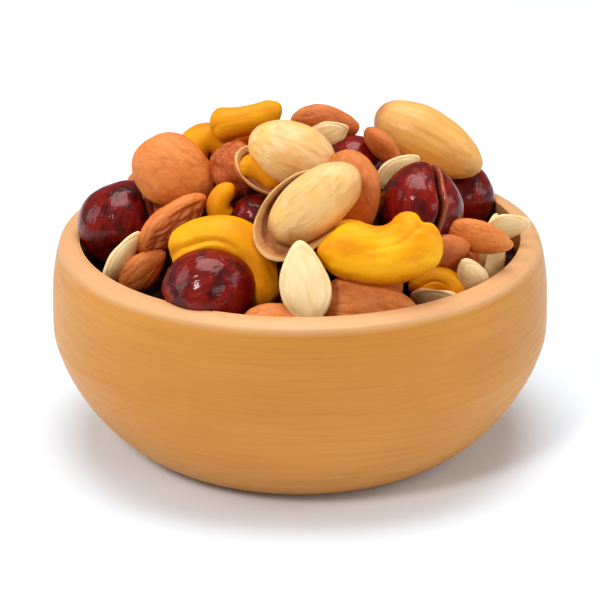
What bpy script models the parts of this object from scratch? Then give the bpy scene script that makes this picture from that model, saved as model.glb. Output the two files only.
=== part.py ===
"""A turned wooden bowl heaped with trail mix: hazelnuts, almonds, cashews, pistachios and pumpkin seeds.

Units are metres, +Z up. The origin is the middle of the bowl's foot, and the viewer stands on the -Y side.
"""

import math
import random

import bmesh
import bpy
import numpy as np

MM = 0.001
GAP = 0.3 * MM
TINY = 1e-9

# The bowl
RIM_HEIGHT = 51.2 * MM
FOOT_RADIUS = 37.9 * MM
BELLY_RADIUS = 60 * MM
BELLY_HEIGHT = 28.8 * MM
BELLY_FULLNESS = 1.48
EDGE_RADIUS = 58 * MM
EDGE_HEIGHT = 49.3 * MM
EDGE_FULLNESS = 3.26
RIM_FLAT_OUTER = 55.6 * MM
RIM_FLAT_INNER = 53.9 * MM
INNER_RADIUS = 53 * MM
INNER_EDGE_DROP = 1.0 * MM
INNER_BELLY_RADIUS = 53.8 * MM
INNER_BELLY_HEIGHT = 30 * MM
INNER_FULLNESS = 1.6
FLOOR_RADIUS = 22 * MM
FLOOR_HEIGHT = 8 * MM
RIM_BEVEL = 0.25 * MM
RIM_FALL = 0.15 * MM
EDGE_BEVEL = (1.0 * MM, 1.1 * MM)
INNER_WALL_HOLLOW = 0.3 * MM
FLOOR_POINTS = 7
FOOT_POINTS = 9
BOWL_STEPS = 48

# The heap: its outline is an ellipsoid about the middle of the rim. Its core fills the bowl up to a flat top,
# with a lower mound on it, and the whole heap stays in a room that widens above the rim.
DOME = np.array([52, 52, 28.5]) * MM
CORE_TOP = 44 * MM
CORE_EDGE = (5 * MM, 2 * MM)
CORE_STEPS = 28
MOUND_MIDDLE = np.array([0, -7, 50]) * MM
MOUND_HALF = np.array([34, 31, 16]) * MM
MOUND_FACES = (20, 10)
ROOM_WIDE = 40 * MM
ROOM_HIGH = 60 * MM
SHARP_ANGLE = math.radians(40)

# Where the nuts are seen from: the viewer looks down at a point near the middle of the rim
VIEWER_TILT = math.radians(22.5)
VIEWER_DISTANCE = 590 * MM
EYE_DROP = 16.4 * MM

# How the nuts settle against each other, the core and the wall
PROBES = 70
CASHEW_BALLS = 5
SETTLE_STEPS = 60
PULL = 0.25 * MM
LEAST_SHARE = 0.05
UNSEEN_SHARE = 0.35
MOST_SHIFT = 4 * MM
SIDE_HOLD = 0.3
WALL_REACH = 1.5 * MM
LEAST_JOIN = 0.9 * MM
MOST_IN_CORE = 2.5 * MM
SINK_STEP = 0.4 * MM
MOST_SINK_STEPS = 25

# Length, breadth and thickness of each kind, in mm. A stout one is a cashew that is hardly bent.
USUAL = {
    "hazelnut": (19, 18.2, 18.2),
    "kernel": (12.5, 12, 11.5),
    "almond": (21, 13.5, 8),
    "cashew": (26, 16, 11),
    "stout": (27.5, 15.5, 13.5),
    "pistachio": (22, 13, 12.5),
    "shell": (21, 13.5, 6),
    "seed": (17, 9.5, 3),
}

# How the forms of the kinds differ from a ball, as shares of half their size
HAZELNUT_SLIM = 0.14
HAZELNUT_TIP = 0.06
HAZELNUT_BASE = 0.92
HAZELNUT_SHIFT = 0.07
KERNEL_SLIM = 0.1
ALMOND_SLIM = 0.2
ALMOND_ENDS = 0.12
ALMOND_THIN = 0.12
PISTACHIO_SLIM = 0.1
SHELL_LIP = 0.16
SHELL_LIP_DEPTH = 0.2
SHELL_HOLLOW = 0.72
SEED_SLIM = 0.16
SEED_ENDS = 0.24
CASHEW_SLIM = 0.14
STOUT_SLIM = 0.2

# Faces round and along the low solid of each kind, and how many fewer on the far side
FACES = {
    "hazelnut": (10, 7),
    "kernel": (8, 6),
    "almond": (9, 7),
    "cashew": (8, 9),
    "stout": (9, 9),
    "pistachio": (10, 7),
    "shell": (10, 7),
    "seed": (8, 6),
}
FEWER_FACES = (2, 2)

# How much larger a low solid is than its form, so that its flat faces lie half inside the form
SWELL = 1.025

# The nuts on the side towards the viewer, each with its kind, place, turns, length and breadth. The place
# is right of and above the middle of the rim, as the viewer sees it, and back from the dome, in mm. The
# turns are in the view, of the long axis towards the viewer and about the long axis, in degrees.
SEEN = [
    ("hazelnut", -25.5, 15, 9, 40, 0, 0, 16, 15.5),
    ("almond", -37.5, 12.5, 17, 65, 0, 20, 13, 9.5),
    ("stout", -21, 21, 5, -14, 0, 0, 15, 10),
    ("cashew", -14, 19.5, 15, 100, 20, 0, 12, 9),
    ("stout", -13, 26.8, -20, 13, 0, -15, 17.8, 7),
    ("almond", 6, 25.2, 4, -3, 0, 35, 17, 11),
    ("seed", 6.6, 23.2, 6, 18, 25, 15, 12, 7),
    ("hazelnut", 13, 15, 15, 30, 0, 0, 15.5, 15),
    ("almond", 20.2, 20, 5, -48, 0, 70, 13, 8.5),
    ("hazelnut", 38.6, 8.8, 16, 80, 0, 0, 18, 17.5),
    ("pistachio", 31, 21.7, -8, -29, 0, 0, 29.4, 15),
    ("seed", 23.5, 14.6, 9, 32, 0, 30, 12.5, 7),
    ("hazelnut", 28.6, 5.2, 3, 90, 0, 0, 20.5, 20),
    ("kernel", -15.2, 14.6, 3, -62, 0, 0, 14, 11.5),
    ("stout", -19, 6.6, 13, 80, 20, 30, 11, 7),
    ("hazelnut", -9.5, 1.5, 22, 0, 0, 0, 11, 10.5),
    ("shell", -8.4, 13.4, 8, -30, 0, 150, 16.5, 11.5),
    ("almond", 12.5, 9.5, 8, -76, 0, 25, 19.5, 14),
    ("stout", -9.4, 14.2, 5, -35, 0, 0, 11, 5.5),
    ("shell", -1.6, 19.4, -8, -22, 0, -12, 21, 15),
    ("shell", -0.6, 3.4, 3, 46, 0, 180, 24, 16),
    ("shell", 4, 6.2, -4, 39, 0, 12, 24.5, 14),
    ("cashew", 11.5, -3.5, 15, 10, 0, 0, 16, 11),
    ("cashew", 6.5, -8.2, 18, 80, 20, 0, 13, 9.5),
    ("almond", -29.9, 14.2, -1, -25, 0, 0, 21, 17),
    ("hazelnut", -43, 2.4, -3, 70, 0, 0, 20.6, 20.2),
    ("almond", -30.4, 1.5, 9, 42, 0, 60, 20.5, 13),
    ("cashew", -15.8, -7.2, 12, -28, 0, 0, 28, 17.5),
    ("hazelnut", -21.4, -14.9, -7, 20, 0, 0, 21.2, 20.8),
    ("seed", -43, -6.5, -2, 57, 0, 45, 14.5, 7),
    ("almond", -37.8, -9.4, 3, 40, 0, 30, 13.5, 8.5),
    ("stout", 19.4, -5.4, 1, 187, 0, 0, 27.5, 15),
    ("almond", 42.8, -1.2, 0, -14, 0, 55, 16.5, 10),
    ("almond", 35.5, -4.8, 1, 20, 0, 30, 12, 8.5),
    ("almond", 38, -10, 5, -25, 0, 10, 16, 11),
    ("cashew", 34.5, -14.2, 3, -30, 0, 0, 14.5, 10),
    ("seed", 49.9, 1, -15, 12, 0, 30, 11, 7),
    ("seed", 47, -7.5, -2, 78, 0, 50, 14, 7),
    ("seed", 41.2, -11.8, -3, 118, 25, 10, 11, 7.5),
    ("almond", 16, -18, 0, -4, 0, 0, 23, 13.5),
    ("seed", 34, -17.2, -2, -12, 0, 40, 14, 7.5),
    ("almond", -5.5, -23, 0, 5, 0, 0, 17, 11),
    ("seed", 1.2, -12.5, -5, 98, 0, 0, 19, 11.5),
]

# The nuts on the far side and underneath follow a seeded rule. Each layer has its depth under the dome in mm,
# the number of places tried, the overlap allowed in mm and the share of each kind.
FILL_SEED = 1
FILL_LAYERS = (
    (0, 900, 2.5, {"hazelnut": 4, "almond": 4, "cashew": 4, "pistachio": 3, "shell": 2}),
    (0, 400, 3, {"kernel": 2, "seed": 2, "almond": 3, "cashew": 2}),
    (3, 900, 3.5, {"almond": 4, "hazelnut": 2, "cashew": 2, "seed": 1}),
    (6, 1500, 4, {"almond": 4, "hazelnut": 2, "cashew": 2}),
    (9, 900, 4, {"almond": 5, "kernel": 2}),
)
# Usual length and breadth of those nuts, in mm
FILL_SIZES = {
    "hazelnut": (18.5, 18),
    "kernel": (12.5, 12),
    "almond": (21, 13.5),
    "cashew": (25, 15.5),
    "pistachio": (22, 13),
    "shell": (21, 13),
    "seed": (16, 9),
}
FILL_SCALE = (0.9, 1.1)
FILL_BREADTH = (0.94, 1.06)
FILL_LEAN = 14
FILL_SPIN = 18
FILL_LOWEST = -0.35
SKYLINE = 22.5 * MM
SKYLINE_FALL = 3
MOST_ABOVE = 1 * MM
MOST_COVER = 0.4
MOST_SUNK = 0.6
FILL_FRONT = 5 * MM
# The most of a nut that shows in front of the seen ones, when it is placed and after it settled
MOST_SHOWN = (0.2, 0.28)
# The least distance between two nuts, as a share of their breadths
CLOSEST = 0.25
TURNED_SHELLS = 0.4

# Colour in linear light and roughness
WOOD = ((0.66, 0.30, 0.07), 0.45)
NUTS = ((0.55, 0.24, 0.07), 0.5)


def turned(turn, lean, spin):
    """Rotation of a nut: spin about its long axis X, then lean of that axis towards +Z, then turn about Z."""
    cos_turn, cos_lean, cos_spin = np.cos(np.radians([turn, lean, spin]))
    sin_turn, sin_lean, sin_spin = np.sin(np.radians([turn, lean, spin]))
    about_z = np.array([[cos_turn, -sin_turn, 0], [sin_turn, cos_turn, 0], [0, 0, 1]])
    about_y = np.array([[cos_lean, 0, -sin_lean], [0, 1, 0], [sin_lean, 0, cos_lean]])
    about_x = np.array([[1, 0, 0], [0, cos_spin, -sin_spin], [0, sin_spin, cos_spin]])
    return about_z @ about_y @ about_x


def spiral(count):
    """Points spread evenly over a sphere of radius 1, on a golden-angle spiral."""
    step = np.arange(count)
    height = 1 - (2 * step + 1) / count
    turn = step * math.pi * (3 - math.sqrt(5))
    flat = np.sqrt(1 - height * height)
    return np.stack([flat * np.cos(turn), flat * np.sin(turn), height], 1)


def view_frame(tilt):
    """Right, up and towards the viewer, as columns, for someone in front who looks down by tilt."""
    return np.array(
        [[1, 0, 0], [0, math.sin(tilt), -math.cos(tilt)], [0, math.cos(tilt), math.sin(tilt)]]
    )


def cashew_arc(size):
    """Radius and half angle of the arc that runs along the middle of a cashew, between its round ends."""
    length, breadth, thick = size
    chord, rise = length - thick, breadth - thick
    half = 2 * math.atan(2 * rise / chord)
    return chord / (2 * math.sin(half)), half


def cashew_line(along, size):
    """Middle of a cashew's section and its turn: an arc that bulges towards +Y, at along from -1 to 1, and
    straight on past its ends."""
    radius, half = cashew_arc(size)
    turn = np.clip(along, -1, 1) * half
    past = (along - np.clip(along, -1, 1)) * half * radius
    rise = size[1] - size[2]
    across = radius * np.sin(turn) + past * np.cos(turn)
    up = radius * (np.cos(turn) - 1) + rise / 2 - past * np.sin(turn)
    return np.stack([across, up, 0 * turn], -1), turn


class Nut:
    """One nut: its kind, size, middle and rotation, and the ellipsoids and probe points that stand for it."""

    def __init__(self, kind, size, middle, rotation, line=None):
        self.kind = kind
        self.size = size
        self.middle = middle
        self.rotation = rotation
        self.line = line
        self.start = middle.copy()
        offsets, halves = [np.zeros(3)], [size / 2]
        if kind in ("cashew", "stout"):
            offsets = cashew_line(np.linspace(-1, 1, CASHEW_BALLS), size)[0]
            halves = [np.full(3, size[2] / 2)] * len(offsets)
        self.offsets = [rotation @ offset for offset in offsets]
        self.to_unit = [(rotation / half).T for half in halves]
        points = spiral(PROBES // len(halves))
        shells = [offset + (points * half) @ rotation.T for offset, half in zip(self.offsets, halves)]
        self.probes = np.concatenate(shells)
        self.reach = float(np.linalg.norm(self.probes, axis=1).max())


def depth_inside(points, middle, to_unit):
    """How deep the deepest of the points is in an ellipsoid, and the way out for it."""
    scaled = (points - middle) @ to_unit.T
    share = np.linalg.norm(scaled, axis=1)
    deepest = int(share.argmin())
    if not LEAST_SHARE < share[deepest] < 1:
        return 0.0, None
    push = to_unit.T @ scaled[deepest]
    size = np.linalg.norm(push)
    return float((1 - share[deepest]) * share[deepest] / size), push / size


def overlap(one, two):
    """How far two nuts are inside each other, and the direction that frees the first."""
    best, way = 0.0, None
    if np.linalg.norm(one.middle - two.middle) > one.reach + two.reach:
        return best, way
    for first, second, sign in ((one, two, 1), (two, one, -1)):
        points = first.middle + first.probes
        for offset, to_unit in zip(second.offsets, second.to_unit):
            depth, out = depth_inside(points, second.middle + offset, to_unit)
            if depth > best:
                best, way = depth, out * sign
    return best, way


def depth_in_core(nut):
    """How deep a nut reaches into the core, and the way out."""
    depth, out = depth_inside(nut.middle + nut.probes, MOUND_MIDDLE, np.diag(1 / MOUND_HALF))
    below_top = CORE_TOP - (nut.middle[2] + nut.probes[:, 2].min())
    if below_top > depth:
        return float(below_top), np.array([0.0, 0.0, 1.0])
    return depth, out


def hold(nut):
    """Moves a nut out of the core and inside the bowl's wall."""
    depth, out = depth_in_core(nut)
    most = MOST_IN_CORE if nut.line is not None else nut.size[2] * MOST_SUNK
    if depth > most:
        nut.middle = nut.middle + out * (depth - most)
    points = nut.middle + nut.probes
    low = points[points[:, 2] < RIM_HEIGHT + WALL_REACH]
    if len(low):
        radius = np.hypot(low[:, 0], low[:, 1])
        widest = int(radius.argmax())
        past_wall = radius[widest] - (INNER_RADIUS - GAP)
        if past_wall > 0:
            nut.middle[:2] -= low[widest, :2] / radius[widest] * past_wall


def part_pair(one, two):
    """Moves two nuts apart where they cross. One that is seen from the front moves less than the others."""
    depth, way = overlap(one, two)
    if depth > 0:
        share = 0.5 + UNSEEN_SHARE * ((one.line is None) - (two.line is None))
        one.middle = one.middle + way * depth * share
        two.middle = two.middle - way * depth * (1 - share)


def settle(nuts, steps):
    for _ in range(steps):
        for nut in nuts:
            nut.middle = nut.middle + inward(nut) * PULL
        for i, one in enumerate(nuts):
            for two in nuts[i + 1 :]:
                part_pair(one, two)
        for nut in nuts:
            hold(nut)
            if nut.line is not None:
                off = nut.middle - nut.start
                along = float(off @ nut.line)
                side = off - nut.line * along
                along = min(max(along, -MOST_SHIFT), MOST_SHIFT)
                nut.middle = nut.start + nut.line * along + side * SIDE_HOLD


def inward(nut):
    """The way a nut sinks: along its line of sight, or square to the dome."""
    if nut.line is not None:
        return nut.line
    out = (nut.middle - [0, 0, RIM_HEIGHT]) / DOME**2
    return -out / np.linalg.norm(out)


def joined_to_core(nuts):
    """The nuts that reach the core, straight or through others."""
    joined = [nut for nut in nuts if depth_in_core(nut)[0] > LEAST_JOIN]
    left = [nut for nut in nuts if nut not in joined]
    for nut in joined:
        reached = [other for other in left if overlap(nut, other)[0] > LEAST_JOIN]
        joined += reached
        left = [other for other in left if other not in reached]
    return joined


def sink_loose(nuts):
    """Sinks each nut that touches nothing until it is joined to the core, at last straight down."""
    places = [nut.middle for nut in nuts]
    for step in range(2 * MOST_SINK_STEPS):
        joined = joined_to_core(nuts)
        for nut, place in zip(nuts, places):
            if nut not in joined:
                if step == MOST_SINK_STEPS:
                    nut.middle = place
                way = inward(nut) if step < MOST_SINK_STEPS else np.array([0, 0, -1])
                nut.middle = nut.middle + way * SINK_STEP


def size_of(kind, length, breadth):
    usual = USUAL[kind]
    broader = breadth / usual[1]
    if kind in ("cashew", "stout"):
        broader = (length / usual[0] + broader) / 2
    return np.array([length, breadth, usual[2] * broader]) * MM


def distance_to(start, line, half):
    """How far along a line an ellipsoid with these half sizes starts, or where the line passes nearest."""
    start, way = start / half, line / half
    square, middle = way @ way, start @ way
    inside = middle * middle - square * (start @ start - 1)
    return (-middle - math.sqrt(max(inside, 0))) / square


def seen_nuts():
    view = view_frame(VIEWER_TILT)
    rim = np.array([0, 0, RIM_HEIGHT])
    eye = rim + view @ [0, -EYE_DROP, VIEWER_DISTANCE]
    nuts = []
    for kind, across, up, back, turn, lean, spin, length, breadth in SEEN:
        size = size_of(kind, length, breadth)
        line = rim + view @ (np.array([across, up, 0]) * MM) - eye
        line /= np.linalg.norm(line)
        half = DOME - (size[2] if kind == "seed" else size[2] / 2)
        middle = eye + line * (distance_to(eye - rim, line, half) + back * MM)
        nuts.append(Nut(kind, size, middle, view @ turned(turn, lean, spin), line))
    return nuts


def fill_nut(spot, kind, depth, draw):
    """A nut of the far side or the lower layer at a spot of the unit sphere, lowered under the skyline."""
    scale = draw.uniform(*FILL_SCALE)
    turn, lean, spin = draw.uniform(0, 360), draw.gauss(0, FILL_LEAN), draw.gauss(0, FILL_SPIN)
    length, breadth = FILL_SIZES[kind]
    size = size_of(kind, length * scale, breadth * scale * draw.uniform(*FILL_BREADTH))
    if kind == "shell" and draw.random() < TURNED_SHELLS:
        spin += 180
    middle = spot * (DOME - depth - size[2] / 2)
    if spot[2] < 0:
        middle[:2] *= (INNER_RADIUS - size[2] / 2 - depth) / np.hypot(*middle[:2])
    out = spot / DOME
    out /= np.linalg.norm(out)
    side = np.cross([0, 0, 1], out)
    side /= np.linalg.norm(side)
    frame = np.stack([side, np.cross(out, side), out], 1)
    nut = Nut(kind, size, middle + [0, 0, RIM_HEIGHT], frame @ turned(turn, lean, spin))
    nut.middle[2] -= max(above_skyline(nut), 0) / math.cos(VIEWER_TILT)
    return nut


def above_skyline(nut):
    """How far a nut stands above the line that the nuts of the near side hide, as the viewer sees it."""
    seen = (nut.middle + nut.probes - [0, 0, RIM_HEIGHT]) @ view_frame(VIEWER_TILT)
    top = SKYLINE * (1 - np.abs(seen[:, 0] / DOME[0]) ** SKYLINE_FALL)
    return float((seen[:, 1] - top).max())


def covers(nut, nuts):
    """Whether a nut is in front of one that is seen, as the viewer sees them."""
    for other in nuts:
        off = (nut.middle - other.middle) @ view_frame(VIEWER_TILT)
        near = (nut.size[1] + other.size[1]) * MOST_COVER
        if other.line is not None and off[2] > 0 and math.hypot(off[0], off[1]) < near:
            return True
    return False


def shown(nut, nuts):
    """The share of a nut that isn't behind those that are seen, as the viewer sees them."""
    towards = view_frame(VIEWER_TILT)[:, 2]
    points = nut.middle + nut.probes
    clear = np.ones(len(points), bool)
    for other in nuts:
        if other.line is None:
            continue
        for offset, to_unit in zip(other.offsets, other.to_unit):
            start, way = (points - other.middle - offset) @ to_unit.T, to_unit @ towards
            along = start @ way / (way @ way)
            nearest = np.linalg.norm(start - np.outer(along, way), axis=1)
            clear &= (along > 0) | (nearest > 1)
    return clear.mean()


def in_the_way(nut, nuts, most_shown):
    in_front = nut.middle[1] < FILL_FRONT or covers(nut, nuts)
    return in_front and shown(nut, nuts) > most_shown


def crosses(one, two, allowed):
    between = np.linalg.norm(one.middle - two.middle)
    return between < (one.size[1] + two.size[1]) * CLOSEST or overlap(one, two)[0] > allowed


def stays(nut, nuts):
    """Whether a nut of the far side is still out of the viewer's way after it settled."""
    return above_skyline(nut) < MOST_ABOVE and not in_the_way(nut, nuts, MOST_SHOWN[1])


def fill_nuts(nuts):
    """Adds nuts where there is room, from the top of the heap down."""
    draw = random.Random(FILL_SEED)
    for depth, places, allowed, shares in FILL_LAYERS:
        bag = [kind for kind, share in shares.items() for _ in range(share)]
        for spot in spiral(places):
            nut = fill_nut(spot, draw.choice(bag), depth * MM, draw)
            sunk = depth_in_core(nut)[0] > nut.size[2] * MOST_SUNK
            if sunk or spot[2] < FILL_LOWEST:
                continue
            if in_the_way(nut, nuts, MOST_SHOWN[0]):
                continue
            if not any(crosses(nut, other, allowed * MM) for other in nuts):
                nuts.append(nut)


def laid_nuts():
    nuts = seen_nuts()
    settle(nuts, SETTLE_STEPS)
    fill_nuts(nuts)
    settle(nuts, SETTLE_STEPS // 2)
    nuts = [nut for nut in nuts if nut.line is not None or stays(nut, nuts)]
    sink_loose(nuts)
    return nuts


def hazelnut_form(x, y, z, size):
    slim = 1 - HAZELNUT_SLIM * np.maximum(x, 0) ** 2
    tip = HAZELNUT_TIP * np.maximum(x, 0) ** 6
    along = np.maximum(x + tip, -HAZELNUT_BASE) - HAZELNUT_SHIFT
    return np.stack([along, y * slim, z * slim], 1) * size / 2


def kernel_form(x, y, z, size):
    slim = 1 - KERNEL_SLIM * x
    return np.stack([x, y * slim, z * slim], 1) * size / 2


def almond_form(x, y, z, size):
    slim = 1 - ALMOND_SLIM * x - ALMOND_ENDS * x * x
    return np.stack([x, y * slim, z * (1 - ALMOND_THIN * x)], 1) * size / 2


def pistachio_form(x, y, z, size):
    slim = 1 - PISTACHIO_SLIM * x
    return np.stack([x, y * slim, z * slim], 1) * size / 2


def shell_form(x, y, z, size):
    """Half a pistachio shell: the lower half of the ball is folded up to be its hollow inside."""
    inner = z < 0
    inset = np.where(inner, 1 - SHELL_LIP * np.minimum(-z / SHELL_LIP_DEPTH, 1), 1)
    height = np.where(inner, -SHELL_HOLLOW * z, z)
    return np.stack([x * inset, y * inset, 2 * height - 1], 1) * size / 2


def seed_form(x, y, z, size):
    slim = 1 - SEED_SLIM * x - SEED_ENDS * x * x
    return np.stack([x, y * slim, z], 1) * size / 2


def cashew_form(x, y, z, size, slim=CASHEW_SLIM):
    """A bent sausage with round ends, fatter at one end."""
    radius, half = cashew_arc(size)
    cap = size[2] / 2 / (radius * half)
    along = x * (1 + cap)
    past = np.maximum(np.abs(along) - 1, 0) / cap
    section = np.sqrt(1 - np.minimum(past, 1) ** 2) * (1 - slim * x) * size[2] / 2
    around = np.hypot(y, z) + TINY
    middle, turn = cashew_line(along, size)
    out, up = section * y / around, section * z / around
    return middle + np.stack([out * np.sin(turn), out * np.cos(turn), up], 1)


def stout_form(x, y, z, size):
    return cashew_form(x, y, z, size, STOUT_SLIM)


FORMS = {
    "hazelnut": hazelnut_form,
    "kernel": kernel_form,
    "almond": almond_form,
    "pistachio": pistachio_form,
    "shell": shell_form,
    "seed": seed_form,
    "cashew": cashew_form,
    "stout": stout_form,
}


def material(name, look):
    colour, roughness = look
    made = bpy.data.materials.new(name)
    made.use_nodes = True
    shader = made.node_tree.nodes["Principled BSDF"]
    shader.inputs["Base Color"].default_value = (*colour, 1)
    shader.inputs["Roughness"].default_value = roughness
    return made


def new_object(name, mesh, collection):
    made = bpy.data.objects.new(name, mesh)
    collection.objects.link(made)
    return made


def new_collection(name):
    made = bpy.data.collections.new(name)
    bpy.context.scene.collection.children.link(made)
    return made


def corner(start, end, fullness, count):
    """Points of a rounded corner from start, where it runs upright, to end, where it runs level."""
    points = []
    for step in range(1, count + 1):
        angle = step / count * math.pi / 2
        level, upright = 1 - math.cos(angle) ** (2 / fullness), math.sin(angle) ** (2 / fullness)
        points.append(
            (start[0] + (end[0] - start[0]) * level, start[1] + (end[1] - start[1]) * upright)
        )
    return points


def inner_wall(inset):
    """Profile of the bowl's hollow from the axis up to just under the rim, moved inwards by inset."""
    belly = (INNER_BELLY_RADIUS - inset, INNER_BELLY_HEIGHT)
    floor = (FLOOR_RADIUS, FLOOR_HEIGHT + inset)
    curve = [belly] + corner(belly, floor, INNER_FULLNESS, FLOOR_POINTS)
    under_rim = (INNER_RADIUS - inset, RIM_HEIGHT - INNER_EDGE_DROP)
    halfway_radius = INNER_BELLY_RADIUS - inset - INNER_WALL_HOLLOW
    halfway = (halfway_radius, (INNER_BELLY_HEIGHT + RIM_HEIGHT) / 2)
    return [(0, FLOOR_HEIGHT + inset)] + curve[::-1] + [halfway, under_rim]


def bowl_profile():
    """From the middle of the hollow up the inside, over the rim, down the outside and in under the foot."""
    points = inner_wall(0)
    points += [
        (INNER_RADIUS + RIM_BEVEL, RIM_HEIGHT - RIM_BEVEL),
        (RIM_FLAT_INNER, RIM_HEIGHT),
        (RIM_FLAT_OUTER, RIM_HEIGHT - RIM_FALL),
        (EDGE_RADIUS - EDGE_BEVEL[0], EDGE_HEIGHT + EDGE_BEVEL[1]),
        (EDGE_RADIUS, EDGE_HEIGHT),
    ]
    for share in (0.75, 0.5, 0.25, 0):
        ease = (BELLY_RADIUS - EDGE_RADIUS) * share**EDGE_FULLNESS
        points.append((BELLY_RADIUS - ease, BELLY_HEIGHT + share * (EDGE_HEIGHT - BELLY_HEIGHT)))
    points += corner((BELLY_RADIUS, BELLY_HEIGHT), (FOOT_RADIUS, 0), BELLY_FULLNESS, FOOT_POINTS)
    points.append((0, 0))
    return points


def turned_object(name, profile, steps, collection):
    """An object turned about the Z axis from a profile of (radius, height)."""
    mesh = bpy.data.meshes.new(name)
    edges = [(i, i + 1) for i in range(len(profile) - 1)]
    mesh.from_pydata([(radius, 0, height) for radius, height in profile], edges, [])
    made = new_object(name, mesh, collection)
    screw = made.modifiers.new("Turn", "SCREW")
    screw.steps = screw.render_steps = steps
    screw.use_merge_vertices = True
    screw.merge_threshold = 0.01 * MM
    screw.use_smooth_shade = True
    return made


def core_profile():
    """The lower core fills the bowl up to a flat top under the rim."""
    level, upright = CORE_EDGE
    points = [point for point in inner_wall(GAP) if point[1] < CORE_TOP - level]
    points.append((INNER_RADIUS - GAP, CORE_TOP - upright))
    points.append((INNER_RADIUS - level, CORE_TOP))
    return [(0, CORE_TOP)] + points[::-1]


def room_profile():
    """The space the heap may fill: the hollow with a gap to the wall, and a wide cone above the rim."""
    above = RIM_HEIGHT + GAP
    outer = INNER_RADIUS + ROOM_WIDE
    points = inner_wall(GAP) + [(INNER_RADIUS - GAP, above), (outer, above + ROOM_WIDE)]
    points += [(outer, above + ROOM_HIGH), (0, above + ROOM_HIGH)]
    return points[::-1]


def ball_object(name, faces, shape_of, collection):
    """An object made from a ball with its poles on X, moved point by point by shape_of(x, y, z)."""
    shape = bmesh.new()
    bmesh.ops.create_uvsphere(shape, u_segments=faces[0], v_segments=faces[1], radius=1)
    ball = np.array([vert.co for vert in shape.verts])
    for vert, point in zip(shape.verts, shape_of(ball[:, 2], ball[:, 0], ball[:, 1])):
        vert.co = point
    bmesh.ops.triangulate(shape, faces=shape.faces)
    mesh = bpy.data.meshes.new(name)
    shape.to_mesh(mesh)
    shape.free()
    return new_object(name, mesh, collection)


def nut_object(index, nut, collection):
    def placed(x, y, z):
        return FORMS[nut.kind](x, y, z, nut.size) * SWELL @ nut.rotation.T + nut.middle

    fewer = FEWER_FACES if nut.line is None else (0, 0)
    faces = [full - less for full, less in zip(FACES[nut.kind], fewer)]
    return ball_object(f"nut_{index:03d}", faces, placed, collection)


def mound_object(collection):
    def placed(x, y, z):
        return np.stack([y, z, x], 1) * MOUND_HALF + MOUND_MIDDLE

    return ball_object("mound", MOUND_FACES, placed, collection)


def volume(faces):
    """Signed volume inside a set of triangles."""
    total = 0.0
    for face in faces:
        a, b, c = (vert.co for vert in face.verts)
        total += a.dot(b.cross(c)) / 6
    return total


def pieces(shape):
    """The faces of a bmesh, as one list for each connected piece."""
    left = set(shape.faces)
    found = []
    while left:
        piece, edge_of = [], [left.pop()]
        while edge_of:
            face = edge_of.pop()
            piece.append(face)
            for edge in face.edges:
                for other in edge.link_faces:
                    if other in left:
                        left.remove(other)
                        edge_of.append(other)
        found.append(piece)
    return found


def keep_one_solid(mesh):
    """Drops loose scraps, and fills sealed hollows by dropping their walls."""
    shape = bmesh.new()
    shape.from_mesh(mesh)
    bmesh.ops.triangulate(shape, faces=shape.faces)
    found = sorted(pieces(shape), key=volume)
    for piece in found[:-1]:
        bmesh.ops.delete(shape, geom=piece, context="FACES")
    shape.to_mesh(mesh)
    shape.free()


def evaluated_mesh(source):
    bpy.context.view_layer.update()
    graph = bpy.context.evaluated_depsgraph_get()
    return bpy.data.meshes.new_from_object(source.evaluated_get(graph))


def remove_with_mesh(made):
    mesh = made.data
    bpy.data.objects.remove(made)
    bpy.data.meshes.remove(mesh)


def boolean(made, operation, other):
    """Adds a Boolean with an object or with all objects of a collection."""
    cut = made.modifiers.new(operation.title(), "BOOLEAN")
    cut.operation = operation
    if isinstance(other, bpy.types.Collection):
        cut.operand_type = "COLLECTION"
        cut.collection = other
    else:
        cut.object = other
    return cut


def make_bowl(parts):
    bowl = turned_object("bowl", bowl_profile(), BOWL_STEPS, parts)
    bowl.data.materials.append(material("wood", WOOD))


def make_heap(parts, helpers):
    """The core with every nut fused on, kept inside the room that the bowl leaves."""
    core = turned_object("core", core_profile(), CORE_STEPS, helpers)
    room = turned_object("room", room_profile(), BOWL_STEPS, helpers)
    nuts = new_collection("Nuts")
    mound_object(nuts)
    for index, nut in enumerate(laid_nuts()):
        nut_object(index, nut, nuts)
    boolean(core, "UNION", nuts)
    boolean(core, "INTERSECT", room)
    mesh = evaluated_mesh(core)
    mesh.name = "nut_heap"
    for helper in [*nuts.objects, core, room]:
        remove_with_mesh(helper)
    keep_one_solid(mesh)
    mesh.shade_smooth()
    mesh.set_sharp_from_angle(angle=SHARP_ANGLE)
    mesh.materials.clear()
    mesh.materials.append(material("nuts", NUTS))
    new_object("nut_heap", mesh, parts)


def main():
    for made in list(bpy.data.objects):
        bpy.data.objects.remove(made)
    parts = new_collection("Bowl of trail mix")
    helpers = new_collection("Helpers")
    make_bowl(parts)
    make_heap(parts, helpers)


if __name__ == "__main__":
    main()
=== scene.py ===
"""Looks of the bowl of trail mix: the turned wood, every nut and seed in full detail, floor and light.

Units are metres, +Z up. The origin is the middle of the bowl's foot, and the camera is on the -Y side.
"""

import math
import random

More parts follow.
